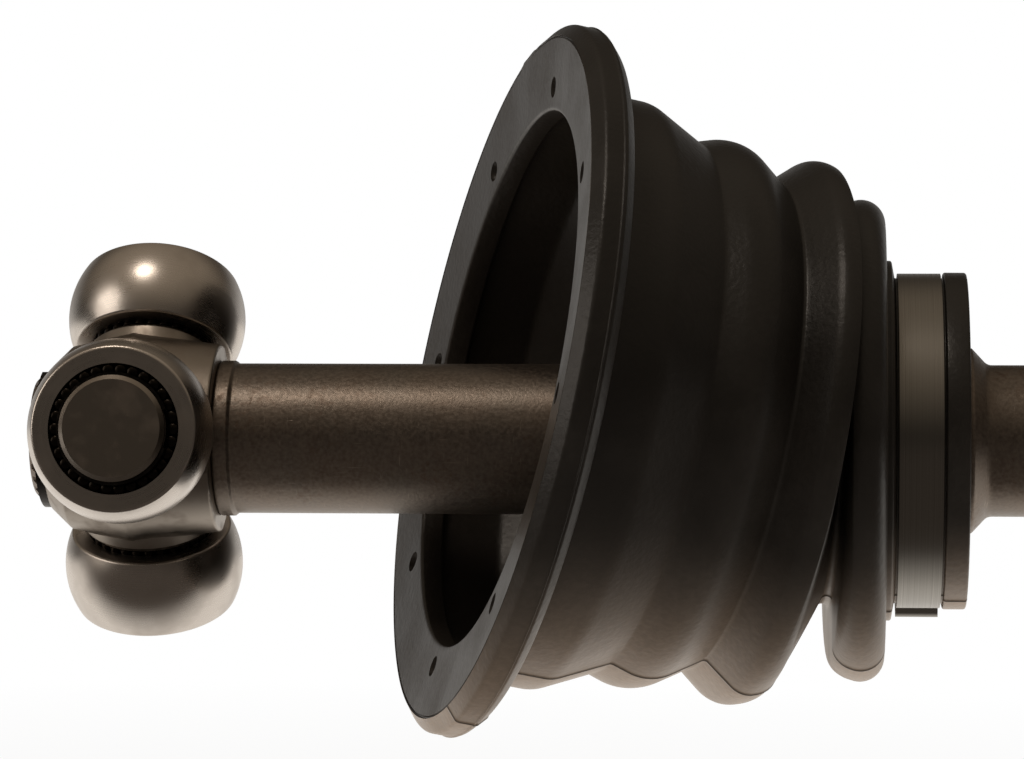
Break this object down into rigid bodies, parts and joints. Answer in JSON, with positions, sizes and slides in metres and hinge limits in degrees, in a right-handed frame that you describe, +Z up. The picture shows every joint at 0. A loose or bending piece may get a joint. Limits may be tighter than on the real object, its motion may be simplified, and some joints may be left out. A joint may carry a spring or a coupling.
{
  "type": "drive shaft",
  "caption": "Car drive shaft: tripod joint with ball-shaped rollers, wide rubber gearbox boot on its own ball bearing, steel bar, and a splined ball joint with its boot.",
  "frame": {"origin": "centre of the tripod on the bar's axis, where the three trunnion axes meet", "axes": "+X along the bar from the gearbox end to the wheel end, +Z up, first tripod roller towards -Y"},
  "size_m": [0.6144, 0.1303, 0.1328],
  "materials": {
    "bar_steel": "dark oiled forged steel with specks of rust",
    "spider_steel": "machined steel with an oil film",
    "roller_steel": "ground and polished hard steel, worn warm grey",
    "needle_steel": "polished",
    "spring_steel": "black phosphated spring steel",
    "bearing_steel": "ground bearing steel",
    "pressed_steel": "pressed sheet",
    "seal_rubber": "smooth moulded",
    "boot_rubber": "satin moulded black rubber, slightly warm with handling",
    "band_steel": "stainless strip",
    "joint_steel": "turned forging, lightly oiled",
    "outer_boot_plastic": "moulded thermoplastic"
  },
  "bodies": {
    "shaft": {"drive_shaft_bar": "bar_steel", "spider": "spider_steel", "spider_circlip": "spring_steel", "trunnion_washer_1": "spider_steel", "trunnion_washer_2": "spider_steel", "trunnion_washer_3": "spider_steel", "needle_clip_1": "spring_steel", "needle_clip_2": "spring_steel", "needle_clip_3": "spring_steel", "bearing_inner_ring": "bearing_steel", "bearing_circlip": "spring_steel", "joint_inner_race": "joint_steel", "joint_circlip": "spring_steel", "outer_boot_small_end": "outer_boot_plastic", "outer_boot_small_clamp": "band_steel"},
    "roller_1": {"tripod_roller_1": "roller_steel"},
    "roller_2": {"tripod_roller_2": "roller_steel"},
    "roller_3": {"tripod_roller_3": "roller_steel"},
    "needles_1": {"needle_rollers_1": "needle_steel"},
    "needles_2": {"needle_rollers_2": "needle_steel"},
    "needles_3": {"needle_rollers_3": "needle_steel"},
    "boot_end": {"boot_collar": "boot_rubber", "boot_clamp": "band_steel", "bearing_outer_ring": "bearing_steel", "bearing_seal_gearbox_side": "seal_rubber", "bearing_seal_wheel_side": "seal_rubber", "boot_bend_pleat": "boot_rubber"},
    "bearing_ball_set": {"bearing_balls": "bearing_steel", "bearing_cage": "pressed_steel"},
    "boot_middle": {"boot_middle_fold": "boot_rubber", "boot_plunge_pleat": "boot_rubber"},
    "boot_gearbox_end": {"boot_mouth": "boot_rubber", "boot_insert_ring": "pressed_steel"},
    "wheel_joint_cage": {"joint_cage": "joint_steel", "joint_balls": "bearing_steel"},
    "wheel_joint": {"joint_housing": "joint_steel", "outer_boot_big_end": "outer_boot_plastic", "outer_boot_big_clamp": "band_steel", "outer_boot_pleats": "outer_boot_plastic"}
  },
  "joints": [
    {"name": "roller_1_spin", "type": "hinge", "parent": "shaft", "child": "roller_1", "pos_m": [0, -0.02722, 0.00183], "axis": [0, -0.9978, 0.067], "continuous": true},
    {"name": "needles_1_orbit", "type": "hinge", "parent": "shaft", "child": "needles_1", "pos_m": [0, -0.02722, 0.00183], "axis": [0, -0.9978, 0.067], "continuous": true},
    {"name": "roller_2_spin", "type": "hinge", "parent": "shaft", "child": "roller_2", "pos_m": [0, 0.01203, -0.02449], "axis": [0, 0.4409, -0.8976], "continuous": true},
    {"name": "needles_2_orbit", "type": "hinge", "parent": "shaft", "child": "needles_2", "pos_m": [0, 0.01203, -0.02449], "axis": [0, 0.4409, -0.8976], "continuous": true},
    {"name": "roller_3_spin", "type": "hinge", "parent": "shaft", "child": "roller_3", "pos_m": [0, 0.01519, 0.02266], "axis": [0, 0.5569, 0.8306], "continuous": true},
    {"name": "needles_3_orbit", "type": "hinge", "parent": "shaft", "child": "needles_3", "pos_m": [0, 0.01519, 0.02266], "axis": [0, 0.5569, 0.8306], "continuous": true},
    {"name": "boot_spin", "type": "hinge", "parent": "shaft", "child": "boot_end", "pos_m": [0.1487, 0, 0], "axis": [1, 0, 0], "continuous": true},
    {"name": "bearing_ball_orbit", "type": "hinge", "parent": "shaft", "child": "bearing_ball_set", "pos_m": [0.1487, 0, 0], "axis": [1, 0, 0], "continuous": true},
    {"name": "boot_tilt", "type": "hinge", "parent": "boot_end", "child": "boot_middle", "pos_m": [0.12824, 0, 0], "axis": [0, 0.5736, 0.8192], "range_deg": [-36, 0], "stiffness_Nm_per_rad": 6, "deforming": ["boot_bend_pleat"]},
    {"name": "boot_plunge", "type": "slide", "parent": "boot_middle", "child": "boot_gearbox_end", "axis": [-0.9397, -0.2802, 0.1962], "range_m": [-0.006, 0.008], "stiffness_N_per_m": 2500, "deforming": ["boot_plunge_pleat"]},
    {"name": "wheel_joint_tilt", "type": "hinge", "parent": "shaft", "child": "wheel_joint", "pos_m": [0.48, 0, 0], "axis": [0, 0, 1], "range_deg": [-40, 40], "deforming": ["outer_boot_pleats"]},
    {"name": "wheel_cage_tilt", "type": "hinge", "parent": "shaft", "child": "wheel_joint_cage", "pos_m": [0.48, 0, 0], "axis": [0, 0, 1], "range_deg": [-21, 21]}
  ],
  "couplings": [
    {"joint": "needles_1_orbit", "follows": "roller_1_spin", "ratio": 0.552},
    {"joint": "needles_2_orbit", "follows": "roller_2_spin", "ratio": 0.552},
    {"joint": "needles_3_orbit", "follows": "roller_3_spin", "ratio": 0.552},
    {"joint": "bearing_ball_orbit", "follows": "boot_spin", "ratio": 0.584},
    {"joint": "wheel_cage_tilt", "follows": "wheel_joint_tilt", "ratio": 0.5}
  ]
}
